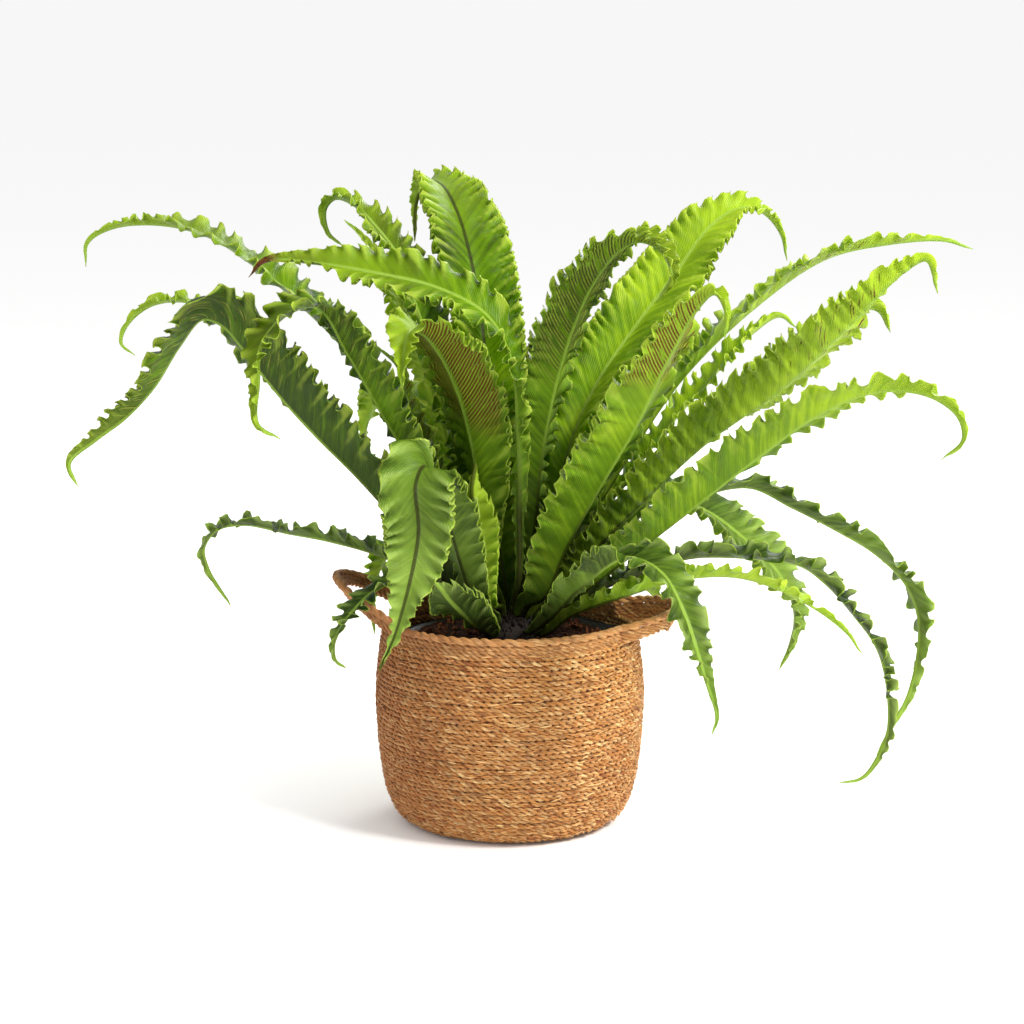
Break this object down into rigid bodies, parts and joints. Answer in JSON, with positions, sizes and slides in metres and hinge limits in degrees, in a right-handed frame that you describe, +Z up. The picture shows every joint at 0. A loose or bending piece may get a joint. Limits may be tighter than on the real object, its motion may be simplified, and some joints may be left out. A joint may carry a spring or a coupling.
{
  "type": "potted bird's nest fern in a basket",
  "caption": "Wavy-edged bird's nest fern in a nursery pot, standing in a lined, coiled seagrass basket with two loop handles.",
  "frame": {"origin": "middle of the basket's flat base, on the surface that it stands on", "axes": "+Z up along the basket's axis; -Y is the front, where the bent frond passes; the two handles are at -X and +X"},
  "size_m": [0.8417, 0.5841, 0.5947],
  "materials": {
    "seagrass": "matte",
    "braid": "matte",
    "lining": "satin",
    "pot": "satin",
    "soil": "matte",
    "crown": "matte",
    "frond_green": "satin",
    "frond_pale": "satin"
  },
  "bodies": {
    "root": {"basket_body": "seagrass", "basket_rim_and_handles": "braid", "plastic_liner": "lining", "nursery_pot": "pot", "potting_soil": "soil", "fern_crown": "crown", "frond_centre_bent": "frond_green", "frond_centre_front": "frond_green", "frond_centre_tall": "frond_green", "frond_centre_back": "frond_pale", "frond_left_front_spotted": "frond_green", "frond_left_back_glossy": "frond_green", "frond_right_back_tall": "frond_green", "frond_right_front_spotted": "frond_green", "frond_front_pale": "frond_pale", "frond_right_top": "frond_green", "frond_right_wide": "frond_green", "frond_right_low": "frond_green", "frond_right_middle": "frond_green", "frond_right_back_middle": "frond_green", "frond_left_top": "frond_green", "frond_left_wide": "frond_green", "frond_left_mid": "frond_green", "frond_left_striped": "frond_green", "frond_left_inner": "frond_green", "frond_left_back_pale": "frond_pale", "frond_front_hanging": "frond_green", "frond_right_far_arc": "frond_green", "frond_right_dark": "frond_green", "frond_right_front_light": "frond_pale", "frond_front_right_droop": "frond_green", "frond_right_hanging": "frond_green", "frond_right_behind": "frond_green", "frond_left_low": "frond_green", "frond_left_over_handle": "frond_green", "frond_front_left_low": "frond_green", "frond_back_right": "frond_green", "frond_back_middle": "frond_green", "frond_back_left": "frond_green", "frond_back_low_right": "frond_green", "frond_back_low_left": "frond_green", "frond_back_low_side": "frond_green"}
  },
  "joints": []
}
